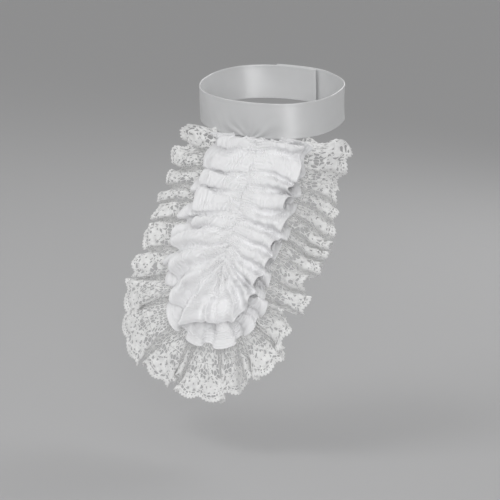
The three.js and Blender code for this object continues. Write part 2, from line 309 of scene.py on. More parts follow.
TOP_LEFT_FLUTES = columns(WING_NAMES, [
    (1.40, 0.90, -8, 0.90, 0.4, 0.15, 0.05),
    (1.80, 0.92, 0, 0.70, 0.6, 0.30, 0.00),
    (1.50, 0.95, 2, 1.30, 0.1, 0.55, 0.10),
    (2.00, 1.05, 5, 1.20, 0.4, 0.45, 0.16),
    (1.40, 1.04, 9, 1.30, 0.1, 0.60, 0.06),
    (1.70, 1.03, 16, 1.10, 0.3, 0.40, 0.12),
    (1.20, 1.00, 21, 1.30, 0.1, 0.50, 0.06),
    (1.10, 1.02, 31, 1.10, 0.3, 0.35, 0.12),
    (0.80, 1.04, 40, 1.10, 0.4, 0.25, 0.08),
    (0.40, 1.08, 59, 0.90, 0.4, 0.10, 0.00),
    (0.10, 1.06, 83, 0.10, 0.0, 0.00, 0.00),
])


def smoothstep(x, low, high):
    """0 below low and 1 above high, with a smooth rise between them."""
    share = np.clip((x - low) / (high - low), 0, 1)
    return share * share * (3 - 2 * share)


def lerp(start, end, share):
    """The value at a share of the way from start to end."""
    return start + (end - start) * share


def unit(vectors):
    """The vectors at length 1."""
    return vectors / np.maximum(np.linalg.norm(vectors, axis=-1, keepdims=True), 1e-12)


class Ripple:
    """Smooth noise on a plane: a sum of sine waves with seeded directions and phases."""

    def __init__(self, length):
        angle = rng.uniform(0, 2 * math.pi, RIPPLE_WAVES)
        scale = 2 * math.pi / (length * rng.uniform(*RIPPLE_LENGTHS, RIPPLE_WAVES))
        self.kx = np.cos(angle) * scale
        self.ky = np.sin(angle) * scale
        self.phase = rng.uniform(0, 2 * math.pi, RIPPLE_WAVES)

    def __call__(self, x, y):
        total = 0
        for kx, ky, phase in zip(self.kx, self.ky, self.phase):
            total = total + np.sin(kx * x + ky * y + phase)
        return total / math.sqrt(len(self.kx))


wander = Ripple(WANDER_LENGTH)
flutter = Ripple(FLUTTER_LENGTH)


# Chest and band surfaces
def band_point(angle, up, out):
    """A place on the band: round the loop, up its height, and out from its middle surface."""
    c, s = np.cos(angle), np.sin(angle)
    power = 2 / BAND_SQUARENESS
    x = BAND_HALF_WIDTH * np.sign(c) * np.abs(c) ** power
    y = BAND_HALF_DEPTH * np.sign(s) * np.abs(s) ** power
    steep = BAND_SQUARENESS - 1
    nx = np.sign(x) * (np.abs(x) / BAND_HALF_WIDTH) ** steep / BAND_HALF_WIDTH
    ny = np.sign(y) * (np.abs(y) / BAND_HALF_DEPTH) ** steep / BAND_HALF_DEPTH
    size = np.hypot(nx, ny)
    x = x + nx / size * out
    y = y + ny / size * out
    tilt_c, tilt_s = math.cos(BAND_TILT), math.sin(BAND_TILT)
    return np.stack(np.broadcast_arrays(x, y * tilt_c - up * tilt_s, y * tilt_s + up * tilt_c), -1)


def slope_at(down):
    """The chest's slope, in radians off upright."""
    return np.radians(np.interp(down / CHEST_LENGTH, CHEST["down"], CHEST["slope"]))


def chest_profile():
    """The chest's middle line: distance down it, and y and z, from the band's lower edge."""
    down = np.arange(*CHEST_SPAN, CHEST_STEP)
    middle = slope_at(down[:-1] + CHEST_STEP / 2)
    y = np.concatenate([[0], np.cumsum(-np.sin(middle) * CHEST_STEP)])
    z = np.concatenate([[0], np.cumsum(-np.cos(middle) * CHEST_STEP)])
    inward = BAND_WALL / 2 + CLEARANCE + PANEL_WALL / 2
    edge = band_point(np.array(-math.pi / 2), -BAND_HEIGHT / 2, -inward)
    zero = np.searchsorted(down, 0)
    return down, y - y[zero] + edge[1], z - z[zero] + edge[2]


PROFILE = chest_profile()


def on_chest(across, down, raised):
    """A place across and down the chest, raised off it, in millimetres."""
    slope = slope_at(down)
    radius = CHEST_RADIUS * np.interp(down / CHEST_LENGTH, CHEST["down"], CHEST["radius"])
    angle = across / radius
    out = (radius + raised) * np.cos(angle) - radius
    y = np.interp(down, PROFILE[0], PROFILE[1]) - out * np.cos(slope)
    z = np.interp(down, PROFILE[0], PROFILE[2]) + out * np.sin(slope)
    return np.stack([(radius + raised) * np.sin(angle), y, z], -1)


# Ruffles
def from_spine(across, down):
    """How far a place on the chest is from the spine."""
    return np.hypot(across - SPINE_SIDE, np.maximum(down - SPINE_TOP - SPINE_LENGTH, 0))


def rise_at(layer, distance):
    """The height of a ruffle's flutes at a distance from the spine."""
    share = np.clip((distance - layer["seam"]) / layer["reach"], 0, 1)
    return lerp(layer["seam_rise"], layer["edge_rise"], share)


def floor_at(layer, below, distance):
    """The height of what a ruffle lies on: the panel, and the ruffles below it."""
    height = (PANEL_WALL + CLOTH_WALL) / 2 + SEAM_GAP
    for under in below:
        climb = under["seam"] - layer["seam"] - CLIMB_END
        share = np.clip((distance - layer["seam"]) / climb, 0, 1)
        share = lerp(layer["bunch"], 1, share)
        height = height + share * (rise_at(under, distance) + CLOTH_WALL + NESTING)
    return height


def blend(flutes, place, column):
    """A column, blended between the middles of neighbouring flutes."""
    last = len(flutes[column]) - 1
    at = np.clip(place - 0.5, 0, last)
    low = at.astype(int)
    high = np.minimum(low + 1, last)
    return lerp(flutes[column][low], flutes[column][high], smoothstep(at - low, 0, 1))


def flute_fold(flutes, length, place, fullness):
    """Where a place on the gathered strip lies along the seam, and how high, as a share."""
    i = np.clip(place.astype(int), 0, len(flutes["pitch"]) - 1)
    phase = place - i
    angle = 2 * math.pi * phase
    curl = (CURL[0] + CURL[1] * flutes["flat"][i]) * fullness
    pinch = (PINCH[0] + PINCH[1] * flutes["flat"][i]) * fullness
    shift = curl * np.sin(2 * angle) - pinch * np.sin(angle)
    start = np.concatenate([[0], np.cumsum(flutes["pitch"])])[i]
    scale = length / flutes["pitch"].sum()
    along = (start + flutes["pitch"][i] * (phase + shift / (2 * math.pi))) * scale
    crest = ((1 - np.cos(angle)) / 2) ** (1 - 0.5 * flutes["flat"][i] * fullness)
    along = along + flutes["lean"][i] * flutes["pitch"][i] * scale * fullness ** 2 * crest ** LEAN_CURVE
    rise = lerp(1, blend(flutes, place, "rise"), fullness)
    return along, crest * rise, blend(flutes, place, "pitch") * scale


def seam_place(layer, along):
    """A place on the U-shaped seam round the spine, and the heading away from it."""
    seam = layer["seam"]
    bend = math.pi * seam
    turn = np.clip((along - SPINE_LENGTH) / seam, 0, math.pi)
    heading = math.pi - turn
    rising = np.maximum(along - SPINE_LENGTH - bend, 0)
    down = np.minimum(along, SPINE_LENGTH) - rising + seam * np.sin(turn)
    return seam * np.cos(heading), down, heading


def crumple(layer, along, out):
    """Small wanderings of real cloth: sideways along the seam, and up off the chest."""
    free = np.clip(out, 0, LOOSE_END)
    side = layer["stray"] * free * wander(along, out * SIDE_SPAN[0])
    side = side + FLUTTER_SIDE * free * flutter(along, out * SIDE_SPAN[1])
    lift = WANDER_LIFT * free ** LIFT_CURVE * wander(along + LIFT_START[0], out * LIFT_SPAN[0])
    lift = lift + FLUTTER_LIFT * free * flutter(along + LIFT_START[1], out * LIFT_SPAN[1])
    return side, lift


def reach_at(layer, flutes, place):
    """How far the cloth reaches out from its seam, least at the seam's ends."""
    from_end = np.minimum(place, len(flutes["pitch"]) - place) if layer["seam"] else place
    taper = lerp(END_REACH, 1, smoothstep(from_end, *END_RUN))
    lobe = 1 - layer["lobe"] * (0.5 + 0.5 * np.cos(2 * math.pi * place))
    return layer["reach"] * blend(flutes, place, "reach") * taper * lobe


def gathers(layer, place, out):
    """Fine crimps where the cloth is drawn up on its seam, dying out towards the free edge."""
    fade = layer["gather"] * (1 - smoothstep(out, CRIMP_HOLD, layer["gathered"]))
    drift = CRIMP_DRIFT * wander(place * CRIMP_SPAN[0], out * CRIMP_SPAN[1])
    return fade * np.sin(2 * math.pi * (place * CRIMPS + drift))


def tuck(layer, across, down):
    """Draws the ruffles' top edge up to the band's lower edge, between the shoulders."""
    near = 1 - smoothstep(down, SPINE_TOP, SPINE_TOP + TUCK_DOWN)
    return down - layer["tuck"] * near * (1 - smoothstep(np.abs(across), *TUCK_ACROSS))


def lay_ruffle(layer, below, across, down, height, pitch, place, out, stray):
    """A place in space: on the layers below, raised by the flutes and by small wanderings."""
    distance = from_spine(across, down)
    rise = np.minimum(rise_at(layer, distance), CROWDING * pitch + out * layer["edge_rise"])
    beside = smoothstep(np.abs(across), *SHOULDER_ACROSS)
    lift = SHOULDER_LIFT * beside * (1 - smoothstep(down, *SHOULDER_DOWN))
    raised = floor_at(layer, below, distance) + rise * height + lift
    raised = raised + layer["flare"] * out ** 3 * height + stray
    return on_chest(across, tuck(layer, across, down), raised + gathers(layer, place, out))


def flounce(layer, below, flutes):
    """The surface of a flounce sewn round the spine, as a function of place and out."""
    length = 2 * SPINE_LENGTH + math.pi * layer["seam"]

    def surface(place, out):
        along, height, pitch = flute_fold(flutes, length, place, lerp(layer["fullness"], 1, out))
        side, lift = crumple(layer, along, out)
        start, down, heading = seam_place(layer, along)
        heading = heading - np.radians(blend(flutes, place, "turn"))
        reach = reach_at(layer, flutes, place) * out
        across = SPINE_SIDE + start + reach * np.cos(heading) + side * np.sin(heading)
        down = SPINE_TOP + down + reach * np.sin(heading) - side * np.cos(heading)
        return lay_ruffle(layer, below, across, down, height, pitch, place, out, lift)

    return surface


def wing(layer, below, flutes, side):
    """One side of the ruffle gathered down the spine: side is 1 for the wearer's left."""

    def surface(place, out):
        fullness = lerp(layer["fullness"], 1, out)
        along, height, pitch = flute_fold(flutes, TOP_SPINE, place, fullness)
        stray, lift = crumple(layer, along + WING_SHIFT * side, out)
        phase = TIERS * out + TIER_DRIFT * place + TIER_WANDER * wander(along, 0)
        tier = TIER_LIFT * np.sin(2 * math.pi * phase)
        lift = lift + tier * smoothstep(place, *TIER_FLUTES) * smoothstep(out, *TIER_OUT)
        calm = smoothstep(len(flutes["pitch"]) - place, 0, END_CALM)
        stray, lift = stray * calm, lift * calm
        droop = np.radians(blend(flutes, place, "droop"))
        furl = blend(flutes, place, "furl") * height * out ** 2
        reach = reach_at(layer, flutes, place) * out * (1 - furl) - TOP_LAP
        across = SPINE_SIDE + side * (reach * np.cos(droop) - stray * np.sin(droop))
        down = SPINE_TOP + along + reach * np.sin(droop) + stray * np.cos(droop)
        return lay_ruffle(layer, below, across, down, height, pitch, place, out, lift)

    return surface


def normals_of(surface, place, out):
    """Unit normals of a surface, facing away from the chest."""
    step = NORMAL_STEP
    along = surface(place + step, out) - surface(place - step, out)
    away = surface(place, np.minimum(out + step, NORMAL_END)) - surface(place, out - step)
    return unit(np.cross(along, away))


class Strip:
    """A ruffle's cloth laid flat: length along its free edge, and width in from that edge."""

    def __init__(self, surface, flutes, layer, outward):
        self.surface = surface
        self.flutes = flutes
        self.layer = layer
        self.outward = outward
        count = len(flutes["pitch"])
        self.places = np.linspace(0, count, count * PLACES_PER_FLUTE + 1)
        edge = surface(self.places, np.ones_like(self.places))
        steps = np.linalg.norm(np.diff(edge, axis=0), axis=1)
        self.lengths = np.concatenate([[0], np.cumsum(steps)])
        self.length = self.lengths[-1]

    def place(self, along):
        """The flute number and share of it that a length along the strip falls on."""
        return np.interp(along, self.lengths, self.places)

    def width(self, along):
        """The strip's width there, from its free edge to its seam."""
        return reach_at(self.layer, self.flutes, self.place(along))

    def flat_area(self):
        """The area that the strip covers when it is laid flat, in square metres."""
        along = np.linspace(0, self.length, WIDTH_SAMPLES)
        return self.width(along).mean() * self.length * MM ** 2

    def points(self, along, inward, proud=0.0):
        """Points of the cloth in metres, standing proud of its middle surface."""
        place = self.place(along)
        out = 1 - inward / self.width(along)
        normal = normals_of(self.surface, place, out) * self.outward
        return (self.surface(place, out) + normal * np.asarray(proud)[..., None]) * MM


# Mesh making
def new_object(name, data):
    """An object of a mesh, light or camera, in the scene."""
    piece = bpy.data.objects.new(name, data)
    bpy.context.scene.collection.objects.link(piece)
    return piece


def polygon_mesh(name, points, corners, totals):
    """A smooth mesh from flat arrays of polygon corners and corner counts."""
    mesh = bpy.data.meshes.new(name)
    mesh.vertices.add(len(points))
    mesh.vertices.foreach_set("co", np.ascontiguousarray(points, np.float32).ravel())
    mesh.loops.add(len(corners))
    mesh.loops.foreach_set("vertex_index", corners.astype(np.int32))
    mesh.polygons.add(len(totals))
    starts = np.concatenate([[0], np.cumsum(totals)[:-1]]).astype(np.int32)
    mesh.polygons.foreach_set("loop_start", starts)
    mesh.polygons.foreach_set("use_smooth", np.ones(len(totals), bool))
    mesh.update(calc_edges=True)
    mesh.validate()
    return mesh


def grid_quads(rows, cols):
    """Quads of a grid of points, rows by cols."""
    i, j = np.meshgrid(np.arange(rows - 1), np.arange(cols - 1), indexing="ij")
    low, high = i * cols + j, (i + 1) * cols + j
    return np.stack([low, high, high + 1, low + 1], -1).reshape(-1, 4)


def quad_piece(name, parts):
    """A piece made of one or more pairs of points and quads."""
    points, quads, base = [], [], 0
    for part_points, part_quads in parts:
        points.append(part_points)
        quads.append(part_quads + base)
        base += len(part_points)
    quads = np.concatenate(quads)
    mesh = polygon_mesh(name, np.concatenate(points), quads.ravel(), np.full(len(quads), 4))
    return new_object(name, mesh)


def tube(line, radius, up, sides=6):
    """A round thread along a line, with an even number of sides; up points off the line."""
    tangent = unit(np.gradient(line, axis=0))
    side = unit(np.cross(tangent, up))
    top = np.cross(side, tangent)
    angle = np.arange(sides) * 2 * math.pi / sides
    ring = side[:, None] * np.cos(angle)[:, None] + top[:, None] * np.sin(angle)[:, None]
    points = line[:, None] + ring * radius
    last = len(line) - 1
    i, j = np.meshgrid(np.arange(last), np.arange(sides), indexing="ij")
    near, far = i * sides, (i + 1) * sides
    after = (j + 1) % sides
    quads = np.stack([near + j, near + after, far + after, far + j], -1).reshape(-1, 4)
    ends = []
    for base, order in ((0, 1), (last * sides, -1)):
        cap = base + np.arange(sides)[::-order]
        for first in range(1, sides - 1, 2):
            ends.append([cap[0], cap[first], cap[first + 1], cap[first + 2]])
    return points.reshape(-1, 3), np.concatenate([quads, np.array(ends)])


# Lace pattern, in millimetres on the flat strip
OUTSIDE = -9.0
SCALLOP = 26.0
SCALLOP_DEPTH = 4.6
SCALLOP_TURN = 0.9
SCALLOP_SPIN = 5.1
BORDER = 3.6
BORDER_FOLD = 0.4
PICOTS = 8
PICOT_RADIUS = 1.35
PICOT_INSET = 0.1
EYELET_RADIUS = 0.72
EYELET_INSET = 0.62
CHAIN_HALF = 0.45
CHAIN_GAP = 2.2
STEM_HALF = 0.55
STEM_INWARD = 18.5
STEM_SWAY = 3.2
STEM_START = 0.8
STEM_FROM = 8
GROUND_START = 26
GROUND_FROM = 26.5
GROUND_ROW = 22

# Flowers and leaves: shares of a flower's size, the outlines' powers, and a slit's half width
PETAL_DEPTH = 0.38
PETAL_CURVE = 0.8
PETAL_EYE = 0.16
SLIT = (0.42, 0.8)
SLIT_HALF = 0.28
LEAF_CURVE = 1.6

# Net: cell, half thread, how far the cells' middles scatter, and where its threads get thicker
NET = 4.9
THREAD = 0.34
NET_MARGIN = 0.12
NET_SCATTER = 0.76
NET_SEEDS = ((12.99, 78.23, 4375.85), (39.35, 11.14, 2497.57))
NET_THICKER = ((0.14, 32, 36), (0.25, 52, 57))

# Flowers: along, inward, size, petals, and a turn where it isn't the scallop's own
BORDER_FLOWERS = (
    (0, 13.2, 7.4, 5, None),
    (-13.0, 17.5, 4.4, 4, None),
    (13.0, 17.5, 4.4, 4, None),
    (0, 25.5, 3.6, 4, 0.4),
)
GROUND_FLOWERS = ((0, 9.0, 6.4, 6, None), (12.5, 18.5, 3.4, 4, None))

# Leaves: along, inward, half length, half width, turn
BORDER_LEAVES = (
    (-8.6, 11.4, 4.8, 2.2, -0.9),
    (8.6, 11.4, 4.8, 2.2, 0.9),
    (-5.8, 21.4, 4.4, 1.9, 0.8),
    (5.8, 21.4, 4.4, 1.9, -0.8),
)
GROUND_LEAVES = (
    (8.4, 4.8, 4.3, 2.1, 0.7),
    (-8.4, 5.3, 4.3, 2.1, -0.7),
    (7.2, 15.7, 4.6, 2.0, -0.5),
    (-6.7, 16.7, 4.6, 2.0, 0.6),
)


def petals(x, y, cx, cy, size, count, turn):
    """A flower: over 0 inside its petals, with a small eye and slits between petals."""
    radius = np.hypot(x - cx, y - cy)
    angle = np.arctan2(y - cy, x - cx) + turn
    lobe = np.abs(np.cos(angle * count / 2))
    outline = size * (1 - PETAL_DEPTH + PETAL_DEPTH * lobe ** PETAL_CURVE) - radius
    eye = radius - size * PETAL_EYE
    slitted = (radius > size * SLIT[0]) & (radius < size * SLIT[1])
    slit = np.where(slitted, lobe * size * 0.5 - SLIT_HALF, -OUTSIDE)
    return np.minimum(np.minimum(outline, eye), slit)


def leaf(x, y, cx, cy, long, wide, turn):
    """A leaf: over 0 inside a pointed ellipse."""
    c, s = math.cos(turn), math.sin(turn)
    u = ((x - cx) * c + (y - cy) * s) / long
    v = (-(x - cx) * s + (y - cy) * c) / wide
    return (1 - np.abs(u) ** LEAF_CURVE - np.abs(v)) * wide


def spray(x, y, flowers, leaves, turn):
    """Flowers and leaves together: over 0 inside them."""
    inside = np.full(np.shape(x), OUTSIDE)
    for cx, cy, size, count, own_turn in flowers:
        flower = petals(x, y, cx, cy, size, count, turn if own_turn is None else own_turn)
        inside = np.maximum(inside, flower)
    for row in leaves:
        inside = np.maximum(inside, leaf(x, y, *row))
    return inside


def net(x, y):
    """Threads of an irregular net, between scattered cells: over 0 on the threads."""
    column, row = np.floor(x / NET), np.floor(y / NET)
    near = np.full(np.shape(x), np.inf)
    second = near.copy()
    for dx in (-1, 0, 1):
        for dy in (-1, 0, 1):
            cx, cy = column + dx, row + dy
            jx, jy = [np.mod(np.sin(cx * p + cy * q) * size, 1) for p, q, size in NET_SEEDS]
            aside = x / NET - cx - NET_MARGIN - NET_SCATTER * jx
            down = y / NET - cy - NET_MARGIN - NET_SCATTER * jy
            distance = np.hypot(aside, down)
            second = np.minimum(second, np.maximum(near, distance))
            near = np.minimum(near, distance)
    thicker = sum(extra * smoothstep(y, low, high) for extra, low, high in NET_THICKER)
    return THREAD + thicker - (second - near) * NET * 0.5


def lace_pattern(along, inward):
    """Two fields over the flat lace: all thread, and the raised motifs, each over 0 inside."""
    cell = np.floor(along / SCALLOP + 0.5)
    x = along - cell * SCALLOP
    turn = np.sin(cell * SCALLOP_SPIN) * SCALLOP_TURN
    inside = inward - SCALLOP_DEPTH * (2 * x / SCALLOP) ** 2

    # The scalloped border, with an eyelet and a picot at each step, and a chain beside it
    step = SCALLOP / PICOTS
    last = (PICOTS - 1) / 2
    px = np.clip(np.floor(x / step) + 0.5, -last, last) * step
    tip = SCALLOP_DEPTH * (2 * px / SCALLOP) ** 2 + PICOT_INSET
    picot = PICOT_RADIUS - np.hypot(x - px, inward - tip)
    eyelet = np.hypot(x - px, inside - BORDER * EYELET_INSET) - EYELET_RADIUS
    border = np.minimum(np.minimum(inside, BORDER - inside), eyelet)
    chain = CHAIN_HALF - np.abs(inside - BORDER - CHAIN_GAP)

    # Sprays along the border, then rows of them over the ground, each row half a step aside
    motif = spray(x, inward, BORDER_FLOWERS, BORDER_LEAVES, turn)
    row = np.floor((inward - GROUND_START) / GROUND_ROW)
    y = inward - GROUND_START - row * GROUND_ROW
    shift = np.where(np.mod(row, 2) < 1, 0.5, 0.0)
    rx = np.mod(along / SCALLOP + shift, 1) * SCALLOP - SCALLOP / 2
    rose = spray(rx, y, GROUND_FLOWERS, GROUND_LEAVES, turn)
    motif = np.maximum(motif, np.where(inward > GROUND_FROM, rose, OUTSIDE))
    sway = STEM_SWAY * np.sin(2 * math.pi * along / SCALLOP + STEM_START)
    stem = STEM_HALF - np.abs(inward - STEM_INWARD - sway)
    motif = np.maximum(motif, np.where(inward > STEM_FROM, stem, OUTSIDE))

    ground = np.maximum(np.maximum(motif, chain), net(along, inward))
    solid = np.where(inside > BORDER, ground, np.maximum(ground, border))
    solid = np.where(inside > BORDER_FOLD, solid, border)
    relief = np.maximum(motif, np.where(inside < BORDER, border, OUTSIDE))
    return np.maximum(solid, picot), np.maximum(relief, picot)


# Cutting the lace: how near a corner a cut may come, and the fewest points that stay
CUT_MARGIN = 0.14
LEAST_POINTS = 40


def cell_outline(case):
    """Corners and edge crossings, in order round a grid cell, that bound its solid part."""
    solid = [case >> corner & 1 for corner in range(4)]
    first = solid.index(1)
    names = []
    for corner in (*range(first, 4), *range(first)):
        if solid[corner]:
            names.append(f"{corner}")
        if solid[corner] != solid[(corner + 1) % 4]:
            names.append(f"e{corner}")
    return names


def drop_islands(inside, least):
    """Clears the patches of a mask that have fewer joined points than least."""
    label = np.where(inside, np.arange(inside.size).reshape(inside.shape), -1)
    while True:
        grown = label.copy()
        for axis in (0, 1):
            for step in (1, -1):
                near = np.roll(label, step, axis)
                edge = [slice(None)] * 2
                edge[axis] = 0 if step == 1 else -1
                near[tuple(edge)] = -1
                grown = np.maximum(grown, np.where(inside, near, -1))
        flat = grown.ravel()
        keep = flat >= 0
        flat[keep] = flat[flat[keep]]
        grown = flat.reshape(inside.shape)
        if np.array_equal(grown, label):
            break
        label = grown
    sizes = np.bincount(label[inside], minlength=inside.size)
    return inside & (sizes[np.maximum(label, 0)] >= least)


def cut_cloth(along, inward, field):
    """Cuts a grid of cloth along a field's zero line; gives flat points and polygons."""
    touch = 1e-6
    inside = drop_islands(field > 0, LEAST_POINTS)
    field = np.where(inside, np.maximum(field, touch), np.minimum(field, -touch))
    grid = np.full(inside.shape, -1)
    grid[inside] = np.arange(inside.sum())
    a, b = np.meshgrid(along, inward, indexing="ij")
    flat = [np.stack([a[inside], b[inside]], -1)]
    count = int(inside.sum())
    crossings = []
    for axis in (0, 1):
        low = [slice(None)] * 2
        high = [slice(None)] * 2
        low[axis], high[axis] = slice(None, -1), slice(1, None)
        low, high = tuple(low), tuple(high)
        crosses = inside[low] != inside[high]
        share = field[low][crosses] / (field[low] - field[high])[crosses]
        share = np.clip(share, CUT_MARGIN, 1 - CUT_MARGIN)
        flat.append(np.stack([lerp(g[low][crosses], g[high][crosses], share) for g in (a, b)], -1))
        ids = np.full(crosses.shape, -1)
        ids[crosses] = count + np.arange(crosses.sum())
        crossings.append(ids)
        count += int(crosses.sum())
    across, down = crossings
    corner = {
        "0": grid[:-1, :-1], "1": grid[1:, :-1], "2": grid[1:, 1:], "3": grid[:-1, 1:],
        "e0": across[:, :-1], "e1": down[1:], "e2": across[:, 1:], "e3": down[:-1],
    }
    solid = inside.astype(int)
    case_at = solid[:-1, :-1] + 2 * solid[1:, :-1] + 4 * solid[1:, 1:] + 8 * solid[:-1, 1:]
    corners, totals = [], []
    for case in range(1, 16):
        names = cell_outline(case)
        cells = case_at == case
        polygons = np.stack([corner[name][cells] for name in names], -1)
        corners.append(polygons.ravel())
        totals.append(np.full(len(polygons), len(names)))
    return np.concatenate(flat), np.concatenate(corners), np.concatenate(totals)


# Lace is cut on finer cells near its free edge: cell, and where its zone begins and ends
LACE_ZONES = ((0.62, -2.25, 34), (0.9, 34, 56), (1.3, 56, 96))

# Relief of the motifs: their rise and how soon it is reached, and the cord round their edge
MOTIF_RISE = 0.2
MOTIF_RUN = 0.4
CORD_RISE = 0.35
CORD_INSET = 0.45
CORD_WIDTH = 0.32


def lace_piece(name, strip, start, end):
    """A length of the lace, on finer cells where it shows, and the area of its threads."""
    points, corners, totals, base = [], [], [], 0
    thread_area = 0
    for cell, low, high in LACE_ZONES:
        along = np.linspace(start, end, round((end - start) / cell) + 1)
        inward = np.arange(low, high + cell / 2, cell)
        a, b = np.meshgrid(along, inward, indexing="ij")
        field, _ = lace_pattern(a, b)
        field = np.minimum(field, strip.width(a) - b)
        flat, polygons, sizes = cut_cloth(along, inward, field)
        _, relief = lace_pattern(flat[:, 0], flat[:, 1])
        cord = CORD_RISE * np.exp(-((relief - CORD_INSET) / CORD_WIDTH) ** 2)
        proud = MOTIF_RISE * smoothstep(relief, 0, MOTIF_RUN) + cord
        points.append(strip.points(flat[:, 0], flat[:, 1], proud))
        corners.append(polygons + base)
        totals.append(sizes)
        base += len(flat)
        thread_area += np.count_nonzero(field > 0) * (cell * MM) ** 2
    mesh = polygon_mesh(name, np.concatenate(points), np.concatenate(corners), np.concatenate(totals))
    return new_object(name, mesh), thread_area


# Chiffon: its crinkle's ribs, how they wander, and where they begin inside the hem
RIB = 2.8
RIB_WANDER = 0.62
RIB_FLUTTER = 0.28
RIB_STRETCH = (0.9, 2.2)
RIB_UNEVEN = 0.35
UNEVEN_STRETCH = (0.6, 0.8)
UNEVEN_START = 50
RIB_FROM = (2.6, 4.5)

# Hem: its ridges' places, heights and widths, its radius, and how far in the cloth sets its lie
HEM_RIDGES = ((2.3, 0.35, 0.5), (0, 0.3, 0.7))
HEM_RADIUS = 0.5
HEM_LOOK = 2.0

# How each ruffle is made: cells along and inward, the crinkle's height, how proud it stands
UNDER_CLOTH = {"cells": (1.6, 0.6), "crinkle": 0.55, "proud": 0.0}
TOP_CLOTH = {"cells": (1.4, 0.5), "crinkle": 0.6, "proud": 0.5}


def chiffon_piece(name, strips, cloth):
    """Crinkled cloth over one or more strips, each a wing of the same ruffle."""
    parts = []
    cell_along, cell_in = cloth["cells"]
    for strip in strips:
        along = np.linspace(0, strip.length, int(strip.length / cell_along) + 1)
        rows = int(strip.layer["reach"] / cell_in) + 1
        inward = np.linspace(0, 1, rows)[None, :] * strip.width(along)[:, None]
        a = np.broadcast_to(along[:, None], inward.shape)
        phase = inward / RIB + RIB_WANDER * wander(a * RIB_STRETCH[0], inward * RIB_STRETCH[1])
        phase = phase + RIB_FLUTTER * flutter(a, inward)
        uneven = flutter(a * UNEVEN_STRETCH[0] + UNEVEN_START, inward * UNEVEN_STRETCH[1])
        rib = np.sin(2 * math.pi * phase) * (1 - RIB_UNEVEN + RIB_UNEVEN * uneven)
        rib = rib * smoothstep(inward, *RIB_FROM)
        hem = sum(height * np.exp(-((inward - at) / width) ** 2) for at, height, width in HEM_RIDGES)
        points = strip.points(a, inward, cloth["proud"] + cloth["crinkle"] * rib + hem)
        parts.append((points.reshape(-1, 3), grid_quads(len(along), rows)))
    return quad_piece(name, parts)


def hem_piece(name, strips, cloth):
    """The rolled edge of a ruffle: a thin tube along each strip's free edge."""
    parts = []
    for strip in strips:
        along = np.arange(0, strip.length, cloth["cells"][0])
        proud = np.full(len(along), cloth["proud"])
        line = strip.points(along, np.zeros(len(along)), proud)
        away = line - strip.points(along, np.full(len(along), HEM_LOOK), proud)
        tangent = np.gradient(line, axis=0)
        parts.append(tube(line, HEM_RADIUS * MM, np.cross(tangent, away)))
    return quad_piece(name, parts)


# Band, panel and patch: points each way, and the share of the solid's wall that the cloth has
BAND_GRID = (421, 41)
PANEL_GRID = (121, 41)
PATCH_GRID = (53, 49)
THINNER = 0.8


def shell(rows, cols, wall, point):
    """A thin closed sheet of rows by cols points; point(row, col, out) takes shares of each."""
    row, col = np.meshgrid(np.linspace(0, 1, rows), np.linspace(0, 1, cols), indexing="ij")
    front = point(row, col, wall / 2).reshape(-1, 3)
    back = point(row, col, -wall / 2).reshape(-1, 3)
    size = rows * cols
    border = [i * cols for i in range(rows)]
    border += [size - cols + j for j in range(1, cols)]
    border += [i * cols - 1 for i in range(rows - 1, 0, -1)]
    border += list(range(cols - 2, 0, -1))
    border = np.array(border)
    after = np.roll(border, -1)
    rim = np.stack([after, border, border + size, after + size], -1)
    quads = [grid_quads(rows, cols), grid_quads(rows, cols)[:, ::-1] + size, rim]
    return np.concatenate([front, back]) * MM, np.concatenate(quads)


def band_out(angle, up):
    """How far the ribbon stands off its even loop: soft waves, puckers and creases."""
    front = (angle + math.pi / 2) * BAND_HALF_WIDTH
    below = up + BAND_HEIGHT / 2
    aside, under = front - PUCKER_ACROSS, below + PUCKER_BELOW
    distance = np.hypot(aside, under)
    fan = PUCKER_FOLDS * np.arctan2(under, aside) + PUCKER_SWAY * np.sin(distance / PUCKER_LENGTH)
    pucker = PUCKER_RISE * np.exp(-distance / PUCKER_FADE) * np.sin(fan)
    beside = front + CREASE_ACROSS
    crease = CREASE_RISE * np.exp(-(beside / CREASE_SPREAD) ** 2 - below / CREASE_FADE)
    crease = crease * np.sin((beside + below * CREASE_LEAN) / CREASE_WIDTH)
    wave = BAND_WAVE * wander(front * WAVE_STRETCH[0], up * WAVE_STRETCH[1] + WAVE_START)
    return pucker + crease + wave


def satin_band():
    """The ribbon: once round the loop, and its outer end over its inner one at the nape."""
    half_lap = BAND_LAP / 2 / BAND_HALF_WIDTH
    run = BAND_LAP_RUN / BAND_HALF_WIDTH
    lift = BAND_WALL + PATCH_WALL + 2 * CLEARANCE
    start = math.pi / 2 - half_lap
    sweep = 2 * math.pi + 2 * half_lap

    def point(row, col, out):
        angle = start + sweep * row
        past = angle - (start + sweep - 2 * half_lap - run)
        lap = lift * smoothstep(past, 0, run)
        up = BAND_HEIGHT * (col - 0.5)
        edge = np.minimum(col, 1 - col) * BAND_HEIGHT
        fold = np.where(edge < SELVEDGE, SELVEDGE_FOLD, 0) * np.sign(out)
        front = angle - 2 * math.pi * (angle > math.pi)
        return band_point(angle, up, out + lap + fold + band_out(front, up))

    return quad_piece("satin_ribbon", [shell(*BAND_GRID, BAND_WALL * THINNER, point)])


def panel_place(row, col):
    """A place on the panel, across and down the chest."""
    down = row * (PANEL_LENGTH + PANEL_TUCK) - PANEL_TUCK
    along = np.clip(down / PANEL_LENGTH, 0, 1)
    half = PANEL_HALF_WIDTH * np.interp(along, PANEL_OUTLINE["along"], PANEL_OUTLINE["width"])
    middle = SPINE_SIDE * smoothstep(along, 0, SPINE_SETTLED)
    return middle + half * (2 * col - 1), down


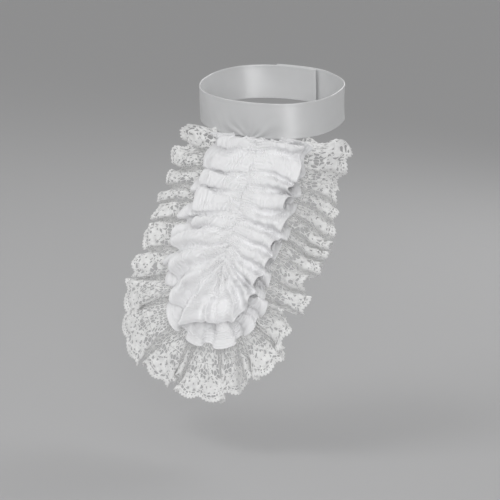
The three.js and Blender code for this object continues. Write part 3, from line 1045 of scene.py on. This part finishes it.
def backing_cloth():
    """The panel's cotton, a little uneven inside its edges."""
    def point(row, col, out):
        across, down = panel_place(row, col)
        aside = np.minimum(col, 1 - col) * PANEL_SIZE[0]
        edge = np.minimum(aside, np.minimum(row, 1 - row) * PANEL_SIZE[1])
        ease = PANEL_EASE * smoothstep(edge, 0, PANEL_EDGE) * flutter(across, down)
        return on_chest(across, down, ease - out)

    return quad_piece("backing_cloth", [shell(*PANEL_GRID, PANEL_WALL * THINNER, point)])


def fastener_patch():
    """The patch between the ribbon's lapped ends, with its pile."""
    half_turn = PATCH_LENGTH / 2 / BAND_HALF_WIDTH
    middle = (BAND_WALL + PATCH_WALL) / 2 + CLEARANCE

    def point(row, col, out):
        angle = math.pi / 2 + half_turn * (2 * row - 1)
        pile = PATCH_PILE * np.sign(out) * flutter(row * PILE_SCALE, col * PILE_SCALE)
        return band_point(angle, PATCH_HEIGHT * (col - 0.5), middle + out + pile)

    return quad_piece("hook_tape", [shell(*PATCH_GRID, PATCH_WALL, point)])


# Stitches on the back of the panel, in metres
STITCH = 2.6 * MM
STITCH_GAP = 1.5 * MM
STITCH_RADIUS = 0.28 * MM
STITCH_BOW = 0.35 * MM
STITCH_SUNK = 0.1 * MM

# Points along a stitch and along its seams, and the seams' margins in millimetres
STITCH_POINTS = 5
SEAM_POINTS = 500
SPINE_POINTS = 300
SEAM_MARGIN = 0.8
SEAM_END = 4
SPINE_END = 3


def stitch_line(across, down):
    """Short threads along a line on the panel's back, with gaps between."""
    line = on_chest(across, down, -PANEL_WALL / 2) * MM
    outward = unit(line - on_chest(across, down, 0) * MM)
    steps = np.concatenate([[0], np.cumsum(np.linalg.norm(np.diff(line, axis=0), axis=1))])
    bow = np.sin(np.linspace(0, math.pi, STITCH_POINTS))[:, None] * STITCH_BOW - STITCH_SUNK
    parts = []
    for start in np.arange(0, steps[-1] - STITCH, STITCH + STITCH_GAP):
        at = np.linspace(start, start + STITCH, STITCH_POINTS)
        thread = np.stack([np.interp(at, steps, line[:, k]) for k in range(3)], -1)
        out = np.stack([np.interp(at, steps, outward[:, k]) for k in range(3)], -1)
        parts.append(tube(thread + out * bow, STITCH_RADIUS, out))
    return parts


def panel_stitches():
    """The stitching of the lower two ruffles' seams, and of the spine."""
    parts = []
    for seam in (LACE["seam"] + SEAM_MARGIN, UNDER["seam"] + SEAM_MARGIN):
        along = np.linspace(SEAM_END, 2 * SPINE_LENGTH + math.pi * seam - SEAM_END, SEAM_POINTS)
        across, down, _ = seam_place({"seam": seam}, along)
        parts += stitch_line(across + SPINE_SIDE, down + SPINE_TOP)
    down = np.linspace(SPINE_TOP + SPINE_END, SPINE_TOP + SPINE_LENGTH, SPINE_POINTS)
    parts += stitch_line(np.full_like(down, SPINE_SIDE), down)
    return quad_piece("seam_stitches", parts)


# Materials: colour, roughness, sheen, weave's scale, strength and depth, patches' scale and shade
MATERIALS = {
    "lace": ((0.93, 0.93, 0.925), 0.85, 0.2, (650, 0.7, 0.0004), (180, 0.86)),
    "chiffon": ((0.92, 0.92, 0.93), 0.8, 0.25, (1800, 0.35, 0.00015), (30, 0.94)),
    "satin": ((0.78, 0.785, 0.79), 0.34, 0.0, (40, 0.1, 0.0004), (30, 0.94)),
    "backing cloth": ((0.85, 0.85, 0.86), 0.9, 0.15, (1500, 0.6, 0.0002), (30, 0.94)),
    "hook tape": ((0.84, 0.84, 0.85), 0.95, 0.3, (900, 0.8, 0.0004), (30, 0.94)),
}
SHEEN_ROUGHNESS = 0.4
CLOTH_SPECULAR = 0.3
PATCH_RAMP = (0.3, 0.7)
WEAVE_DETAIL = 3
SATIN_SPECULAR = 1.0
SATIN_METAL = 0.22
SATIN_THREADS = 450
SATIN_RIDGE = 0.00009


def add_bump(material, height, strength, depth):
    """Lays one more bump over the material's normal."""
    shader = material.node_tree.nodes["Principled BSDF"]
    links = material.node_tree.links
    bump = material.node_tree.nodes.new("ShaderNodeBump")
    bump.inputs["Strength"].default_value = strength
    bump.inputs["Distance"].default_value = depth
    for link in list(shader.inputs["Normal"].links):
        links.new(link.from_socket, bump.inputs["Normal"])
    links.new(height, bump.inputs["Height"])
    links.new(bump.outputs["Normal"], shader.inputs["Normal"])


def cloth_material(name):
    """A principled cloth with a woven bump and slightly darker patches."""
    colour, roughness, sheen, (weave_scale, strength, depth), (patch_scale, shade) = MATERIALS[name]
    material = bpy.data.materials.new(name)
    material.use_nodes = True
    nodes, links = material.node_tree.nodes, material.node_tree.links
    shader = nodes["Principled BSDF"]
    shader.inputs["Roughness"].default_value = roughness
    shader.inputs["Sheen Weight"].default_value = sheen
    shader.inputs["Sheen Roughness"].default_value = SHEEN_ROUGHNESS
    shader.inputs["Specular IOR Level"].default_value = CLOTH_SPECULAR
    where = nodes.new("ShaderNodeTexCoord")
    drift = nodes.new("ShaderNodeTexNoise")
    drift.inputs["Scale"].default_value = patch_scale
    ramp = nodes.new("ShaderNodeValToRGB")
    for element, position, tone in zip(ramp.color_ramp.elements, PATCH_RAMP, (shade, 1)):
        element.position = position
        element.color = (*[part * tone for part in colour], 1)
    links.new(where.outputs["Object"], drift.inputs["Vector"])
    links.new(drift.outputs["Fac"], ramp.inputs["Fac"])
    links.new(ramp.outputs["Color"], shader.inputs["Base Color"])
    weave = nodes.new("ShaderNodeTexNoise")
    weave.inputs["Scale"].default_value = weave_scale
    weave.inputs["Detail"].default_value = WEAVE_DETAIL
    links.new(where.outputs["Object"], weave.inputs["Vector"])
    add_bump(material, weave.outputs["Fac"], strength, depth)
    return material


def polish_satin(material):
    """Lengthwise threads so fine that a light's reflection spreads up and down the ribbon."""
    nodes, links = material.node_tree.nodes, material.node_tree.links
    shader = nodes["Principled BSDF"]
    shader.inputs["Specular IOR Level"].default_value = SATIN_SPECULAR
    shader.inputs["Metallic"].default_value = SATIN_METAL
    where = nodes.new("ShaderNodeTexCoord")
    level = nodes.new("ShaderNodeMapping")
    level.inputs["Rotation"].default_value = (-BAND_TILT, 0, 0)
    threads = nodes.new("ShaderNodeTexWave")
    threads.bands_direction = "Z"
    threads.inputs["Scale"].default_value = SATIN_THREADS
    links.new(where.outputs["Object"], level.inputs["Vector"])
    links.new(level.outputs["Vector"], threads.inputs["Vector"])
    add_bump(material, threads.outputs["Fac"], 1.0, SATIN_RIDGE)


def dress(piece, material, replaced=None):
    """Gives a piece its material and body, and hides the node that it replaces, if any."""
    piece.data.materials.append(material)
    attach(piece, "root")
    if replaced:
        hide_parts(replaced)
    return piece


# The jabot
lace_cloth, chiffon, satin, cotton, tape = [cloth_material(name) for name in MATERIALS]
polish_satin(satin)

lace_strip = Strip(flounce(LACE, [], LACE_FLUTES), LACE_FLUTES, LACE, -1)
LACE_NAMES = ("lace_upper_right", "lace_lower_right", "lace_lower_left", "lace_upper_left")
lace_length = lace_strip.length / len(LACE_NAMES)
for i, name in enumerate(LACE_NAMES):
    lace, area = lace_piece(name, lace_strip, i * lace_length, (i + 1) * lace_length)
    dress(lace, lace_cloth, "lace_flounce")

under_strip = Strip(flounce(UNDER, [LACE], UNDER_FLUTES), UNDER_FLUTES, UNDER, -1)
under = chiffon_piece("chiffon_under", [under_strip], UNDER_CLOTH)
dress(under, chiffon, "under_ruffle")
under_hem = hem_piece("chiffon_under_hem", [under_strip], UNDER_CLOTH)
dress(under_hem, chiffon)

wings = [
    Strip(wing(TOP, [UNDER, LACE], flutes, side), flutes, TOP, side)
    for flutes, side in ((TOP_RIGHT_FLUTES, -1), (TOP_LEFT_FLUTES, 1))
]
top = dress(chiffon_piece("chiffon_top", wings, TOP_CLOTH), chiffon, "top_ruffle")
top_hem = dress(hem_piece("chiffon_top_hem", wings, TOP_CLOTH), chiffon)

band = dress(satin_band(), satin, "neck_band")
panel = dress(backing_cloth(), cotton, "backing_panel")
dress(fastener_patch(), tape, "band_fastener")
stitches = dress(panel_stitches(), cotton)

top_area = wings[0].flat_area() + wings[1].flat_area()

# Floor and light: each light's name, place, power in watts, size, and spread in degrees
FLOOR_DROP = 0.05
FLOOR_HALF = 40
FLOOR_COLOUR = (0.5, 0.5, 0.505, 1)
FLOOR_ROUGHNESS = 0.9
WORLD_STRENGTH = 0.5
LIGHT_AIM = (0, -0.08, -0.12)
LIGHTS = (
    ("key", (-1.0, -1.5, 1.5), 11, 0.9, 180),
    ("side", (1.05, -1.94, 0.44), 2.8, 0.9, 80),
    ("back", (0.4, 1.5, 1.1), 8, 1.0, 180),
)


def add_floor():
    """A plain pale floor a little below the jabot."""
    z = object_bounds()[0][2] - FLOOR_DROP
    mesh = bpy.data.meshes.new("floor")
    square = [(FLOOR_HALF * x, FLOOR_HALF * y, z) for x, y in ((-1, -1), (1, -1), (1, 1), (-1, 1))]
    mesh.from_pydata(square, [], [(0, 1, 2, 3)])
    paint = bpy.data.materials.new("floor paint")
    paint.use_nodes = True
    shader = paint.node_tree.nodes["Principled BSDF"]
    shader.inputs["Base Color"].default_value = FLOOR_COLOUR
    shader.inputs["Roughness"].default_value = FLOOR_ROUGHNESS
    mesh.materials.append(paint)
    new_object("floor", mesh)


def add_lights():
    """Soft studio light: an even white world, and square lamps aimed at the jabot."""
    world = bpy.data.worlds.new("studio")
    bpy.context.scene.world = world
    world.use_nodes = True
    background = world.node_tree.nodes["Background"]
    background.inputs["Color"].default_value = (1, 1, 1, 1)
    background.inputs["Strength"].default_value = WORLD_STRENGTH
    for name, place, power, size, spread in LIGHTS:
        light = bpy.data.lights.new(name, "AREA")
        light.energy = power
        light.size = size
        light.spread = math.radians(spread)
        lamp = new_object(name, light)
        lamp.location = place
        aim = Vector(LIGHT_AIM) - Vector(place)
        lamp.rotation_euler = aim.to_track_quat("-Z", "Y").to_euler()


def add_camera():
    """A camera at the photograph's angle, rolled as the photograph is."""
    toward = Vector((
        math.sin(CAMERA_AZIMUTH) * math.cos(CAMERA_ELEVATION),
        -math.cos(CAMERA_AZIMUTH) * math.cos(CAMERA_ELEVATION),
        math.sin(CAMERA_ELEVATION),
    ))
    right = Vector((math.cos(CAMERA_AZIMUTH), math.sin(CAMERA_AZIMUTH), 0))
    up = toward.cross(right)
    c, s = math.cos(CAMERA_ROLL), math.sin(CAMERA_ROLL)
    right, up = right * c + up * s, up * c - right * s
    lens = bpy.data.cameras.new("camera")
    lens.sensor_width = CAMERA_SENSOR
    lens.lens = CAMERA_LENS
    lens.clip_start = CAMERA_CLIP
    camera = new_object("camera", lens)
    matrix = Matrix((right, up, toward)).transposed().to_4x4()
    matrix.translation = toward * CAMERA_DISTANCE + right * CAMERA_ASIDE + up * CAMERA_BELOW
    camera.matrix_world = matrix
    bpy.context.scene.camera = camera


add_floor()
add_lights()
add_camera()
bpy.context.scene.view_settings.view_transform = "Standard"
